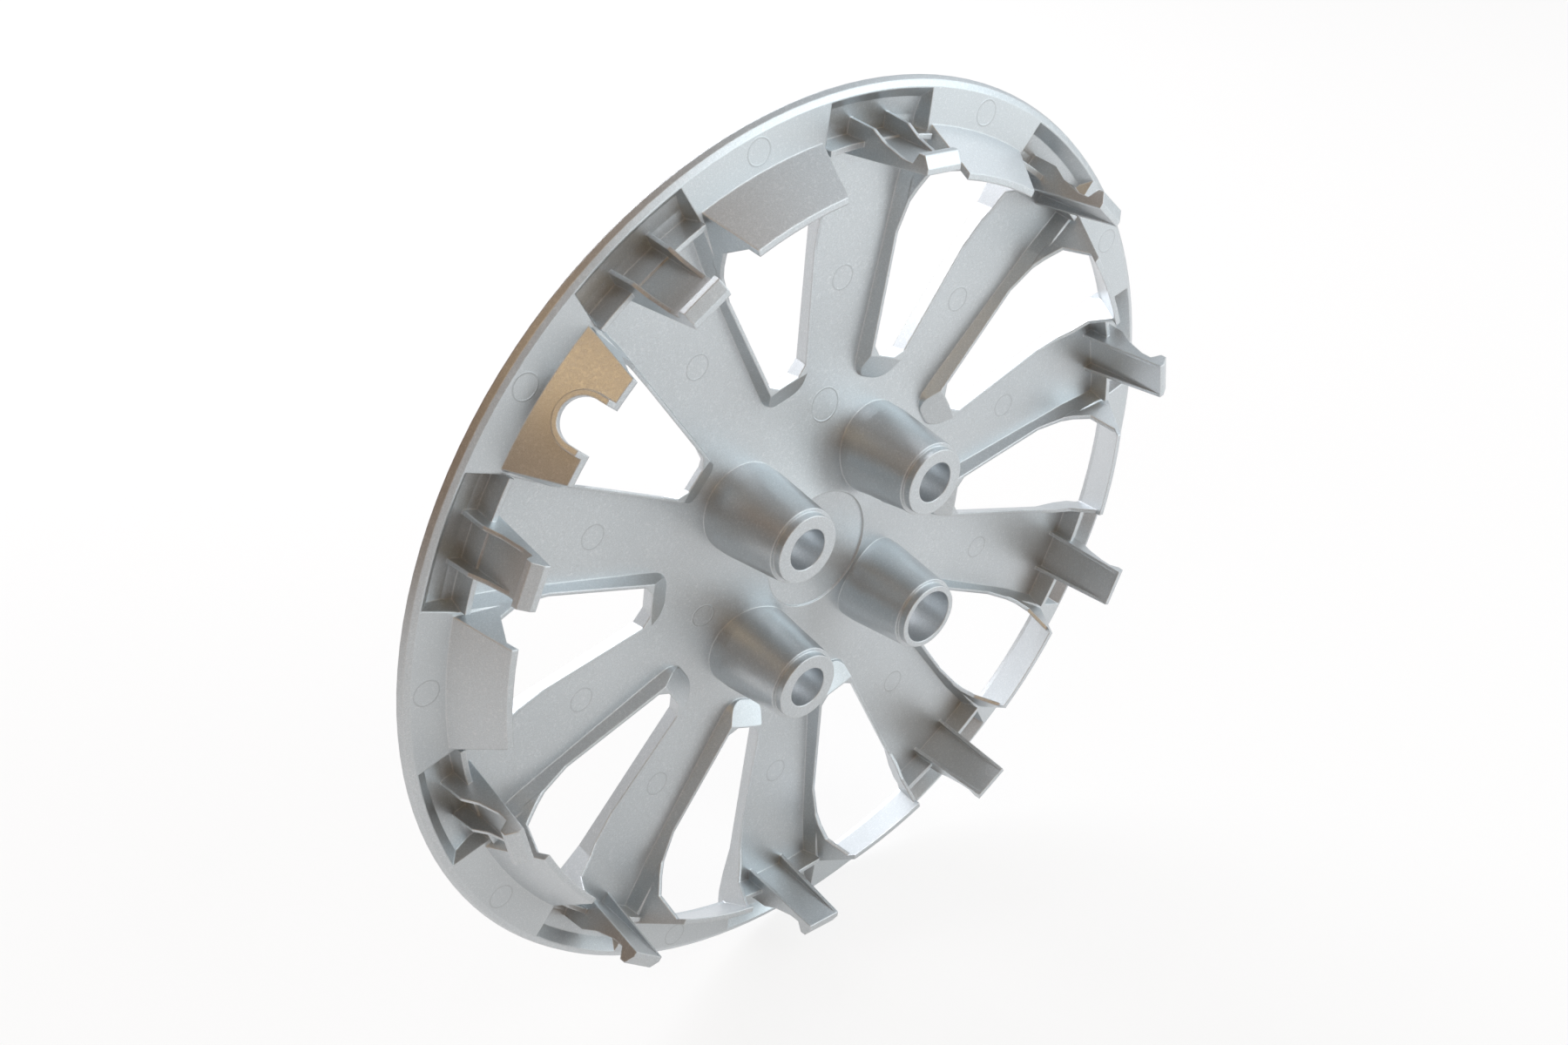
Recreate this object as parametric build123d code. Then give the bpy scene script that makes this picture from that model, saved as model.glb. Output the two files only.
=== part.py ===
"""Ten-spoke plastic wheel cover, one moulding with bolt towers, window skirts and retaining clips."""
import os
from math import atan2, cos, radians, sin, tan
from build123d import *

# Build frame: the wheel axis is Z and inboard is up; heights start at the inboard face of the rim
# Rim and skin
cover_r = 200.0
edge_height = 3.6
edge_round = 3.4
edge_soft = 1.1
front_bend_r = 193.0
front_bend_height = -7.4
bead_width = 3.5
wall = 2.4

# Spoke floor, seen from inboard: radius and height of the points its section runs through
disc_r = 26.8
disc_height = -1.8
disc_step = 0.8
shoulder_r = 90.0
shoulder_height = -9.4
pocket_r = 184.0
pocket_height = -6.2
pocket_mid_r = 191.5
pocket_mid_height = -4.4
pocket_mouth_r = 196.0

# Walls between the spokes and the windows: top edge heights, then plan sizes at rim level
spoke_count = 10
side_height = -3.5
ramp_foot_r = 75.0
ramp_foot_height = -8.8
ramp_top_r = 86.0
rise_start_r = 138.0
rise_end_r = 157.0
side_wall = 1.4
lean_angle = 17.5
land_root_x = 78.0
land_end_x = 178.0
land_end_half = 30.0
land_flare = 21.0
root_fillet = 4.5

# Window openings: half widths across the window at rim level
window_root_x = 87.5
window_root_half = 7.5
window_bend_x = 155.0
window_bend_half = 24.4
window_end_half = 26.8
window_corner = 3.0

# Skirts standing inboard at the outer ends of the windows
skirt_base_r = 182.0
skirt_edge_r = 169.5
skirt_height = 19.7
skirt_wall = 2.3
web_wall = 1.8
web_front_r = 149.0
web_bend_r = 163.0
web_bend_height = 4.6

# Valve notch in one skirt
notch_radius = 9.0
notch_centre_height = 14.5
notch_lip_wall = 2.2
notch_lip_height = 2.6

# Cross ribs at the spoke ends
rib_r = 178.1
rib_wall = 2.2
rib_height = 2.8

# Retaining clips: radial and axial sizes of one side plate, then widths across the clip
clip_height = 34.5
clip_base_inner_r = 171.5
clip_foot_outer_r = 185.5
clip_step_height = 6.0
clip_step_r = 184.5
clip_waist_height = 12.5
clip_waist_r = 181.0
clip_neck_height = 22.0
barb_r = 182.8
barb_height = 7.5
barb_slope = 2.4
leaf_inner_r = 176.0
leaf_wall = 2.4
clip_base_half = 10.2
clip_tip_half = 8.6
clip_plate = 1.6

# Bolt towers
bolt_circle_r = 49.0
tower_count = 4
tower_base_r = 19.4
tower_foot_height = -1.2
tower_end_r = 16.2
tower_height = 31.0
tower_rim = 3.4
tower_face_r = 14.6
tower_wall = 2.4
bore_r = 8.9
wide_bore_r = 12.2
bore_length = 16.0
wide_tower = 2

# Standing frame: the axis turns to Y with inboard along +Y, and the valve window points up and to the side
valve_direction = 44.5

above = 60.0
below = -40.0
window_pitch = 360.0 / spoke_count
skirt_slant = atan2(skirt_base_r - skirt_edge_r, skirt_height)
skirt_across = skirt_wall / cos(skirt_slant)


def turned(*edges):
    """Ring body about the wheel axis from a closed line in radius and height."""
    return revolve(Plane.XZ * make_face(Curve() + list(edges)), Axis.Z)


def side(start, end):
    """Straight side of a turned section; a leaning one is a one-piece curve, which needs few facets."""
    square = start[0] == end[0] or start[1] == end[1]
    return Line(start, end) if square else Bezier(start, end)


def turned_line(*corners):
    """Ring body about the wheel axis from the corners of its section."""
    return turned(*[side(a, b) for a, b in zip(corners, corners[1:] + corners[:1])])


def outline(*corners):
    """Face symmetric about the window's middle from the corners on one side, hub end first."""
    other_side = [(x, -y) for x, y in reversed(corners)]
    return make_face(Polyline(*corners, *other_side, close=True))


def patterned(part, count=spoke_count, first=0.0):
    """Copies of a part at even steps round the wheel axis."""
    return [Rot(Z=first + i * 360.0 / count) * part for i in range(count)]


def skin_line(drop):
    """Section of the spoke floor from the wheel axis out to the pocket, lowered by the drop."""
    centre = Vector(0, disc_height - disc_step - drop)
    step_low = Vector(disc_r, disc_height - disc_step - drop)
    step_high = Vector(disc_r, disc_height - drop)
    shoulder = Vector(shoulder_r, shoulder_height - drop)
    pocket = Vector(pocket_r, pocket_height - drop)
    share = (shoulder_r - disc_r) / (pocket_r - shoulder_r) / 2
    dish = Bezier(step_high, shoulder + (shoulder - pocket) * share, shoulder)
    return [Line(centre, step_low), Line(step_low, step_high), dish, Line(shoulder, pocket)]


def closed_above(line, height):
    """Adds the three sides that close an open section line at a height above it."""
    start = line[0] @ 0
    end = line[-1] @ 1
    return [
        *line,
        Line(end, (end.X, height)),
        Line((end.X, height), (start.X, height)),
        Line((start.X, height), start),
    ]


def leaning(face, depth):
    """Body below a plan face whose walls spread by the lean angle on the way down."""
    return extrude(face, -depth, taper=-lean_angle)


# Plan of the land round one window, and of the window in it
window_slope = (window_bend_half - window_root_half) / (window_bend_x - window_root_x)
land_root_half = window_root_half + side_wall - window_slope * (window_root_x - land_root_x)
land_flare_half = land_end_half + (cover_r - land_end_x) * tan(radians(land_flare))


def land_outline(inset):
    """Plan of one land at rim level, drawn in by the inset."""
    face = outline(
        (land_root_x + inset, land_root_half - inset),
        (window_bend_x, window_bend_half + side_wall - inset),
        (land_end_x, land_end_half - inset),
        (cover_r + wall, land_flare_half - inset),
    )
    return face if inset else fillet(face.vertices().group_by(Axis.X)[0], root_fillet)


window_face = outline(
    (window_root_x, window_root_half),
    (window_bend_x, window_bend_half),
    (land_end_x, window_end_half),
    (skirt_base_r, window_end_half),
)
window_face &= Circle(skirt_base_r - skirt_across)
window_face = chamfer(window_face.vertices().group_by(Axis.X)[0], window_corner)

# Skin: a turned body, cut from inboard along the spokes and from outboard behind the rim and the ramps
outboard = skin_line(wall)
outboard_end = outboard[-1] @ 1
blank = turned(
    *outboard,
    Line(outboard_end, (front_bend_r, front_bend_height)),
    Line((front_bend_r, front_bend_height), (cover_r, -edge_height)),
    Line((cover_r, -edge_height), (cover_r - edge_soft, -edge_soft)),
    Line((cover_r - edge_soft, -edge_soft), (cover_r - edge_round, 0)),
    Line((cover_r - edge_round, 0), (rise_end_r, 0)),
    side((rise_end_r, 0), (rise_start_r, side_height)),
    Line((rise_start_r, side_height), (ramp_top_r, side_height)),
    side((ramp_top_r, side_height), (ramp_foot_r, ramp_foot_height)),
    side((ramp_foot_r, ramp_foot_height), (0, wall)),
    Line((0, wall), outboard[0] @ 0),
)

floor_depth = 2 * wall - shoulder_height
land_core = leaning(land_outline(0), floor_depth) + extrude(land_outline(0), above)
lands = patterned(land_core)

inboard = skin_line(0)
pocket_mid = Vector(pocket_mid_r, pocket_mid_height)
inboard.append(Line(inboard[-1] @ 1, pocket_mid))
inboard.append(Line(pocket_mid, (pocket_mouth_r, 0)))
channels = turned(*closed_above(inboard, above)) - lands

rim_hollow = turned_line(
    (rise_end_r, -wall),
    (cover_r - bead_width, -wall),
    (cover_r - bead_width, below),
    (rise_end_r, below),
)
rim_hollow &= leaning(land_outline(wall), -below)
ramp_hollow = turned_line(
    (ramp_foot_r + wall, ramp_foot_height - wall),
    (ramp_top_r + wall, side_height - wall),
    (ramp_top_r + wall, below),
    (ramp_foot_r + wall, below),
)
ramp_hollow &= leaning(land_outline(side_wall), -below)
window_cut = leaning(window_face, -below) + extrude(window_face, above)
skin = blank - channels - patterned(rim_hollow) - patterned(ramp_hollow) - patterned(window_cut)

# Skirts: a slanted sheet across each window's outer end, joined to the window's sides by webs
sunk = wall / 2
sunk_r = skirt_base_r + sunk * tan(skirt_slant)


def collar(inset):
    """Body between the window's side walls carried on above rim level, drawn in by the inset."""
    face = outline(
        (rise_start_r, window_bend_half - window_slope * (window_bend_x - rise_start_r) - inset),
        (window_bend_x, window_bend_half - inset),
        (land_end_x, window_end_half - inset),
        (cover_r, window_end_half - inset),
    )
    face = Pos(0, 0, -sunk) * offset(face, sunk * tan(radians(lean_angle)), kind=Kind.INTERSECTION)
    return extrude(face, skirt_height + sunk, taper=lean_angle)


def skirt_cone(across):
    """Body inside the skirt's slanted face, drawn in by a distance along the radius."""
    base = (sunk_r - across, -sunk)
    edge = (skirt_edge_r - across, skirt_height)
    return turned(Polyline((0, -sunk), base, edge, (0, skirt_height), close=True))


web_side = make_face(
    Polyline(
        (web_front_r, -sunk),
        (web_bend_r, web_bend_height),
        (skirt_edge_r, skirt_height),
        (cover_r, skirt_height),
        (cover_r, -sunk),
        close=True,
    )
)
skirt_block = collar(-web_wall) & skirt_cone(0)
webs = (skirt_block - collar(0)) & extrude(Plane.XZ * web_side, cover_r, both=True)
skirt = skirt_block - skirt_cone(skirt_across) + webs

# Valve notch, square to its skirt, with a lip round it on the outer side
notch_mid_r = skirt_base_r - notch_centre_height * tan(skirt_slant) - skirt_across / 2
notch_plane = Plane(
    origin=(notch_mid_r, 0, notch_centre_height),
    x_dir=(0, 1, 0),
    z_dir=(cos(skirt_slant), 0, sin(skirt_slant)),
)
notch_depth = 2 * notch_lip_height + skirt_wall


def notch_shape(radius):
    """U shape open towards the free edge of the skirt."""
    return Circle(radius) + Pos(0, above / 2) * Rectangle(2 * radius, above)


notch = extrude(notch_plane * notch_shape(notch_radius), notch_depth, both=True)
lip = extrude(notch_plane * notch_shape(notch_radius + notch_lip_wall), skirt_wall / 2 + notch_lip_height)
lip &= Pos(cover_r, 0, skirt_height - above) * Box(2 * cover_r, 2 * cover_r, 2 * above)
valve_skirt = skirt + lip - notch
skirts = [valve_skirt] + patterned(skirt)[1:]

# Cross ribs, stopped at the sides of the lands
rib_ring = turned_line(
    (rib_r - rib_wall / 2, pocket_height - wall / 2),
    (rib_r - rib_wall / 2, rib_height),
    (rib_r + rib_wall / 2, rib_height),
    (rib_r + rib_wall / 2, pocket_height - wall / 2),
)
ribs = rib_ring - lands

# Retaining clip on the X axis: an H section with a barb at its tip, standing on the spoke floor
clip_foot = pocket_height - wall / 2
barb_foot = clip_height - barb_height
leaf_outer_r = leaf_inner_r + leaf_wall
clip_side = make_face(
    Polyline(
        (clip_base_inner_r, clip_foot),
        (leaf_inner_r, clip_height),
        (leaf_outer_r, clip_height),
        (barb_r, clip_height - barb_slope),
        (barb_r, barb_foot + barb_slope),
        (leaf_outer_r, barb_foot),
        (leaf_outer_r, clip_neck_height),
        (clip_waist_r, clip_waist_height),
        (clip_step_r, clip_step_height),
        (clip_foot_outer_r, clip_foot),
        close=True,
    )
)


def clip_face(inset, top):
    """Outline of the clip looking out along the radius, drawn in by the inset, up to a height."""
    taper = (clip_base_half - clip_tip_half) / (clip_height - clip_foot)
    top_half = clip_base_half - taper * (top - clip_foot) - inset
    foot_half = clip_base_half - inset
    corners = [(-foot_half, clip_foot), (-top_half, top), (top_half, top), (foot_half, clip_foot)]
    return Plane.YZ * make_face(Polyline(*corners, close=True))


clip = extrude(Plane.XZ * clip_side, clip_base_half, both=True)
clip &= extrude(clip_face(0, clip_height), cover_r)
inner_gap = extrude(clip_face(clip_plate, above), leaf_inner_r)
outer_gap = Pos(leaf_outer_r, 0, 0) * extrude(clip_face(clip_plate, barb_foot), cover_r)
clip = clip - inner_gap - outer_gap

# Bolt towers: tapered tubes with a stepped end, open outboard for the bolt head
tower_floor = shoulder_height - wall
step_height = tower_height - tower_rim
well_end = tower_height - bore_length
tower_taper = (tower_base_r - tower_end_r) / (step_height - tower_foot_height)
well_r = tower_base_r - tower_taper * (well_end - tower_foot_height) - tower_wall
tower = turned_line(
    (0, tower_floor),
    (tower_base_r, tower_floor),
    (tower_base_r, tower_foot_height),
    (tower_end_r, step_height),
    (tower_face_r, step_height),
    (tower_face_r, tower_height),
    (0, tower_height),
)
tower = Pos(bolt_circle_r, 0, 0) * tower
well = Pos(bolt_circle_r, 0, (well_end + below) / 2) * Cylinder(well_r, well_end - below)
behind_skin = turned(*closed_above(skin_line(wall / 2), above))
towers = [t & behind_skin for t in patterned(tower, tower_count)]
wells = patterned(well, tower_count)
bores = []
for index in range(tower_count):
    radius = wide_bore_r if index == wide_tower else bore_r
    bore = Pos(bolt_circle_r, 0, 0) * Cylinder(radius, 2 * above)
    bores.append(Rot(Z=index * 360.0 / tower_count) * bore)

cover = skin + skirts + ribs + patterned(clip, spoke_count, window_pitch / 2) + towers
cover -= wells
cover -= bores
standing = Rot(Y=-valve_direction) * Rot(X=-90) * cover

os.makedirs("parts", exist_ok=True)
export_step(standing, "parts/wheel_cover.step")
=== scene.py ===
from math import cos, pi, radians, sin

import bpy
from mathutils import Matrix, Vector


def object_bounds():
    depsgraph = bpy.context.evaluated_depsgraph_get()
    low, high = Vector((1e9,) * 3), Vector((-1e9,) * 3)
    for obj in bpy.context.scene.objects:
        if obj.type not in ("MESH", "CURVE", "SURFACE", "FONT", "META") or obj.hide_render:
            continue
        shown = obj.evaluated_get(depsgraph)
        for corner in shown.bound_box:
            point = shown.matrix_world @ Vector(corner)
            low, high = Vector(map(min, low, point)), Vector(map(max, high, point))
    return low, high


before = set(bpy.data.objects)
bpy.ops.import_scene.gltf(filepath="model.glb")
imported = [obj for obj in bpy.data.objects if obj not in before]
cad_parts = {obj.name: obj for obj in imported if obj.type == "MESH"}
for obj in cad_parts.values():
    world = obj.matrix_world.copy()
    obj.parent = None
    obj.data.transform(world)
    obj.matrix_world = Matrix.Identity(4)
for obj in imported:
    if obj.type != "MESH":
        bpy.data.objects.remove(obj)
cad_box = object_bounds()
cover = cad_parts["wheel_cover"]

# Lengths are in metres, turns in degrees about the wheel axis, from +X towards +Z
SPOKE_TURN = 36.0
VALVE_TURN = 44.5

# Marks of ejector pins, once in each spoke turn: radius, mark radius, shift in turns from the valve window
PIN_MARKS = [(0.1197, 0.0052, 0.5), (0.190, 0.0052, 0.0)]
# Single marks beside the hub: radius, turn, mark radius
HUB_MARKS = [(0.0645, 98.5, 0.0072), (0.0575, 350.5, 0.0050)]
MARK_LINE = 0.0005
MARK_SHADE = 0.36
MARK_STRENGTH = 0.35
# Inboard part of a face's normal at which its marks begin and at which they are full
MARK_FACING = (0.3, 0.6)

PAINT_DARK = (0.59, 0.632, 0.658, 1.0)
PAINT_LIGHT = (0.64, 0.682, 0.708, 1.0)
FLAKE_COLOUR = (0.26, 0.25, 0.24, 1.0)
GLINT_COLOUR = (0.86, 0.87, 0.88, 1.0)
MARK_COLOUR = (0.30, 0.31, 0.32, 1.0)
# Pale colour painted along every rounded edge as a highlight
EDGE_HIGHLIGHT_COLOUR = (0.88, 0.89, 0.90, 1.0)
# Noise: scale per metre, detail, roughness
FLAKE_NOISE = (2600.0, 2.0, 0.6)
GRAIN_NOISE = (900.0, 3.0, 0.6)
CLOUD_NOISE = (14.0, 3.0, 0.55)
# Noise values at which each effect begins and at which it is full
CLOUD_RANGE = (0.3, 0.7)
FLAKE_RANGE = (0.35, 0.68)
GLINT_RANGE = (0.52, 0.72)
ROUGH_RANGE = (0.25, 0.75)
FLAKE_SHADE = 0.26
GLINT_SHADE = 0.34
GRAIN_STRENGTH = 0.16
GRAIN_SHARE = 0.5
FLAKE_SHARE = 0.5
RELIEF_DEPTH = 0.0002
ROUGHNESS = (0.36, 0.48)
METALLIC = 0.92
COAT_WEIGHT = 0.06
COAT_ROUGHNESS = 0.22

EDGE_RADIUS = 0.0008
EDGE_SAMPLES = 4
# Agreement of the softened and the plain normal at which the painted edge highlight begins and at which it
# is full
EDGE_HIGHLIGHT_FROM = 0.99
EDGE_HIGHLIGHT_TO = 0.86
EDGE_HIGHLIGHT_SHARE = 0.4

WHITE = (1.0, 1.0, 1.0, 1.0)
FLOOR_HALF = 6.0
FLOOR_GAP = 0.0002
FLOOR_SCALE = 3.0
FLOOR_DARK = (0.84, 0.84, 0.84, 1.0)
FLOOR_LIGHT = (0.87, 0.87, 0.87, 1.0)
FLOOR_GLOW = 0.83
GLOSSY_SHARE = 0.52

DIM_SIDE = (0.86, 0.28, 0.34)
DIM_FROM = -0.30
DIM_TO = 0.60
BRIGHT_COLOUR = (0.90, 0.96, 1.0, 1.0)
DIM_COLOUR = (0.37, 0.235, 0.15, 1.0)
WORLD_STRENGTH = 0.70

# Lamps: name, place, aim, size, power in watts, colour
LAMPS = [
    ("key", (-1.1, 1.25, 0.25), (-0.1, 0.1, -0.1), 1.3, 11.5, (0.88, 0.97, 1.0)),
    ("back", (-0.3, -1.4, 0.8), (0.0, 0.0, 0.0), 1.2, 24.0, (0.96, 0.96, 1.0)),
    ("top", (-0.5, 0.9, 1.1), (-0.35, 0.45, -0.2), 0.8, 4.5, (0.98, 0.98, 1.0)),
    ("side", (-1.5, 0.1, 0.8), (0.0, 0.0, 0.1), 1.0, 3.2, (0.98, 0.98, 1.0)),
    ("warm", (0.70, 0.36, 0.84), (0.12, 0.0, 0.12), 0.30, 0.9, (1.0, 0.70, 0.38)),
]

CAMERA_PLACE = (0.42157, 0.45716, 0.45142)
CAMERA_WAY = (-0.54005, -0.61473, -0.57486)
LENS_MM = 42.33
SENSOR_MM = 36.0
CLIP_NEAR = 0.01
CLIP_FAR = 50.0


class Nodes:
    """Short way to add and join shader nodes in one tree."""

    def __init__(self, tree):
        self.tree = tree
        tree.nodes.clear()

    def add(self, kind, inputs=None, **settings):
        node = self.tree.nodes.new(kind)
        for name, value in settings.items():
            setattr(node, name, value)
        for name, value in (inputs or {}).items():
            if isinstance(value, bpy.types.NodeSocket):
                self.tree.links.new(value, node.inputs[name])
            else:
                node.inputs[name].default_value = value
        return node

    def math(self, operation, a, b=0.0):
        return self.add("ShaderNodeMath", {0: a, 1: b}, operation=operation).outputs[0]

    def length(self, a, b):
        """Length of the vector with these two parts."""
        return self.math("SQRT", self.math("ADD", self.math("MULTIPLY", a, a), self.math("MULTIPLY", b, b)))

    def dot(self, a, b):
        return self.add("ShaderNodeVectorMath", {0: a, 1: b}, operation="DOT_PRODUCT").outputs["Value"]

    def ramp(self, value, low, high, to_low=0.0, to_high=1.0):
        inputs = {0: value, 1: low, 2: high, 3: to_low, 4: to_high}
        return self.add("ShaderNodeMapRange", inputs).outputs[0]

    def mix(self, factor, a, b):
        return self.add("ShaderNodeMix", {0: factor, 6: a, 7: b}, data_type="RGBA").outputs[2]

    def noise(self, place, scale, detail=2.0, roughness=0.5):
        inputs = {"Vector": place, "Scale": scale, "Detail": detail, "Roughness": roughness}
        return self.add("ShaderNodeTexNoise", inputs).outputs["Fac"]

    def bump(self, strength, height, normal):
        inputs = {"Strength": strength, "Distance": RELIEF_DEPTH, "Height": height, "Normal": normal}
        return self.add("ShaderNodeBump", inputs).outputs[0]


def pin_mark_height(n, place):
    """Height of the shallow rings left by the ejector pins, worked out from the place on the moulding."""
    split = n.add("ShaderNodeSeparateXYZ", {0: place})
    x, z = split.outputs["X"], split.outputs["Z"]
    radius = n.length(x, z)
    turn = n.math("MULTIPLY", n.math("ARCTAN2", z, x), 180.0 / pi)
    steps = n.math("DIVIDE", n.math("SUBTRACT", turn, VALVE_TURN), SPOKE_TURN)
    spots = []
    for mark_at, mark_r, shift in PIN_MARKS:
        near = n.math("SUBTRACT", steps, shift)
        offset = n.math("SUBTRACT", near, n.math("ROUND", near))
        across = n.math("MULTIPLY", n.math("MULTIPLY", offset, radians(SPOKE_TURN)), radius)
        spots.append((across, n.math("SUBTRACT", radius, mark_at), mark_r))
    for mark_at, mark_turn, mark_r in HUB_MARKS:
        across = n.math("SUBTRACT", x, mark_at * cos(radians(mark_turn)))
        along = n.math("SUBTRACT", z, mark_at * sin(radians(mark_turn)))
        spots.append((across, along, mark_r))
    total = 0.0
    for across, along, mark_r in spots:
        away = n.math("SUBTRACT", n.length(across, along), mark_r)
        ring = n.ramp(n.math("ABSOLUTE", away), 0.0, MARK_LINE, 1.0, 0.0)
        total = n.math("MAXIMUM", ring, total)
    return total


def satin_silver():
    """Silver paint with fine metal grain, pale edges painted in as a highlight and the faint marks of the
    mould under it.
    """
    material = bpy.data.materials.new("satin_silver_paint")
    material.use_nodes = True
    n = Nodes(material.node_tree)
    coords = n.add("ShaderNodeTexCoord")
    place = coords.outputs["Object"]
    inboard = n.add("ShaderNodeSeparateXYZ", {0: coords.outputs["Normal"]}).outputs["Y"]

    flake = n.noise(place, *FLAKE_NOISE)
    grain = n.noise(place, *GRAIN_NOISE)
    cloud = n.noise(place, *CLOUD_NOISE)
    marks = n.math("MULTIPLY", pin_mark_height(n, place), n.ramp(inboard, *MARK_FACING))

    colour = n.mix(n.ramp(cloud, *CLOUD_RANGE), PAINT_DARK, PAINT_LIGHT)
    colour = n.mix(n.ramp(flake, *FLAKE_RANGE), n.mix(FLAKE_SHADE, colour, FLAKE_COLOUR), colour)
    glint = n.ramp(grain, *GLINT_RANGE)
    colour = n.mix(n.math("MULTIPLY", glint, GLINT_SHADE), colour, GLINT_COLOUR)
    colour = n.mix(n.math("MULTIPLY", marks, MARK_SHADE), colour, MARK_COLOUR)

    soft = n.add("ShaderNodeBevel", {"Radius": EDGE_RADIUS}, samples=EDGE_SAMPLES).outputs[0]
    plain = n.add("ShaderNodeNewGeometry").outputs["Normal"]
    # Painted highlight: edges are painted paler where the softened normal turns from the plain one
    edge_highlight = n.ramp(n.dot(soft, plain), EDGE_HIGHLIGHT_FROM, EDGE_HIGHLIGHT_TO, 0.0, EDGE_HIGHLIGHT_SHARE)
    colour = n.mix(edge_highlight, colour, EDGE_HIGHLIGHT_COLOUR)

    coarse = n.math("MULTIPLY", grain, GRAIN_SHARE)
    fine = n.math("MULTIPLY", flake, FLAKE_SHARE)
    relief = n.math("ADD", coarse, fine)
    skin = n.bump(GRAIN_STRENGTH, relief, soft)
    paint = n.add(
        "ShaderNodeBsdfPrincipled",
        {
            "Base Color": colour,
            "Metallic": METALLIC,
            "Roughness": n.ramp(grain, *ROUGH_RANGE, *ROUGHNESS),
            "Normal": n.bump(MARK_STRENGTH, marks, skin),
            "Coat Weight": COAT_WEIGHT,
            "Coat Roughness": COAT_ROUGHNESS,
        },
    )
    n.add("ShaderNodeOutputMaterial", {"Surface": paint.outputs[0]})
    return material


def seen(n):
    """Rays that meet the white background: those of the eye in full, mirrored ones in part."""
    path = n.add("ShaderNodeLightPath")
    direct = n.math("MAXIMUM", path.outputs["Is Camera Ray"], path.outputs["Is Transmission Ray"])
    return n.math("MAXIMUM", direct, n.math("MULTIPLY", path.outputs["Is Glossy Ray"], GLOSSY_SHARE))


def floor_material():
    """Pale matte floor that is white to the eye and still takes a soft shadow."""
    material = bpy.data.materials.new("pale_floor")
    material.use_nodes = True
    n = Nodes(material.node_tree)
    place = n.add("ShaderNodeTexCoord").outputs["Object"]
    tone = n.mix(n.noise(place, FLOOR_SCALE), FLOOR_DARK, FLOOR_LIGHT)
    matte = n.add("ShaderNodeBsdfDiffuse", {"Color": tone})
    glow = n.add("ShaderNodeEmission", {"Color": WHITE, "Strength": 1.0})
    share = n.math("MULTIPLY", seen(n), FLOOR_GLOW)
    both = n.add("ShaderNodeMixShader", {0: share, 1: matte.outputs[0], 2: glow.outputs[0]})
    n.add("ShaderNodeOutputMaterial", {"Surface": both.outputs[0]})
    return material


def pale_floor(low):
    """Large square floor just under the cover."""
    mesh = bpy.data.meshes.new("floor")
    signs = [(-1, -1), (1, -1), (1, 1), (-1, 1)]
    corners = [(x * FLOOR_HALF, y * FLOOR_HALF, low) for x, y in signs]
    mesh.from_pydata(corners, [], [(0, 1, 2, 3)])
    mesh.materials.append(floor_material())
    floor = bpy.data.objects.new("floor", mesh)
    bpy.context.scene.collection.objects.link(floor)


def studio_world():
    """White backdrop for the eye, and soft light that is dimmer and warmer from the photograph's left."""
    world = bpy.data.worlds.new("studio")
    world.use_nodes = True
    n = Nodes(world.node_tree)
    way = n.add("ShaderNodeTexCoord").outputs["Generated"]
    share = n.ramp(n.dot(way, Vector(DIM_SIDE).normalized()), DIM_FROM, DIM_TO)
    colour = n.mix(share, BRIGHT_COLOUR, DIM_COLOUR)
    light = n.add("ShaderNodeBackground", {"Color": colour, "Strength": WORLD_STRENGTH})
    white = n.add("ShaderNodeBackground", {"Color": WHITE, "Strength": 1.0})
    eye = n.add("ShaderNodeLightPath").outputs["Is Camera Ray"]
    sky = n.add("ShaderNodeMixShader", {0: eye, 1: light.outputs[0], 2: white.outputs[0]})
    n.add("ShaderNodeOutputWorld", {"Surface": sky.outputs[0]})
    bpy.context.scene.world = world


def softbox(name, place, aim, size, power, colour):
    """Square area lamp that isn't seen by the camera."""
    lamp = bpy.data.lights.new(name, "AREA")
    lamp.shape = "SQUARE"
    lamp.size = size
    lamp.energy = power
    lamp.color = colour
    thing = bpy.data.objects.new(name, lamp)
    thing.location = place
    thing.rotation_mode = "QUATERNION"
    thing.rotation_quaternion = (Vector(aim) - Vector(place)).to_track_quat("-Z", "Y")
    thing.visible_camera = False
    bpy.context.scene.collection.objects.link(thing)


def photo_camera():
    """Camera at the photograph's place and angle."""
    lens = bpy.data.cameras.new("camera")
    lens.lens = LENS_MM
    lens.sensor_width = SENSOR_MM
    lens.dof.use_dof = False
    lens.clip_start = CLIP_NEAR
    lens.clip_end = CLIP_FAR
    camera = bpy.data.objects.new("camera", lens)
    camera.location = CAMERA_PLACE
    camera.rotation_mode = "QUATERNION"
    camera.rotation_quaternion = Vector(CAMERA_WAY).to_track_quat("-Z", "Y")
    bpy.context.scene.collection.objects.link(camera)
    bpy.context.scene.camera = camera


cover.data.materials.clear()
cover.data.materials.append(satin_silver())
pale_floor(cad_box[0].z - FLOOR_GAP)
studio_world()
for lamp_row in LAMPS:
    softbox(*lamp_row)
photo_camera()
bpy.context.scene.view_settings.view_transform = "Standard"
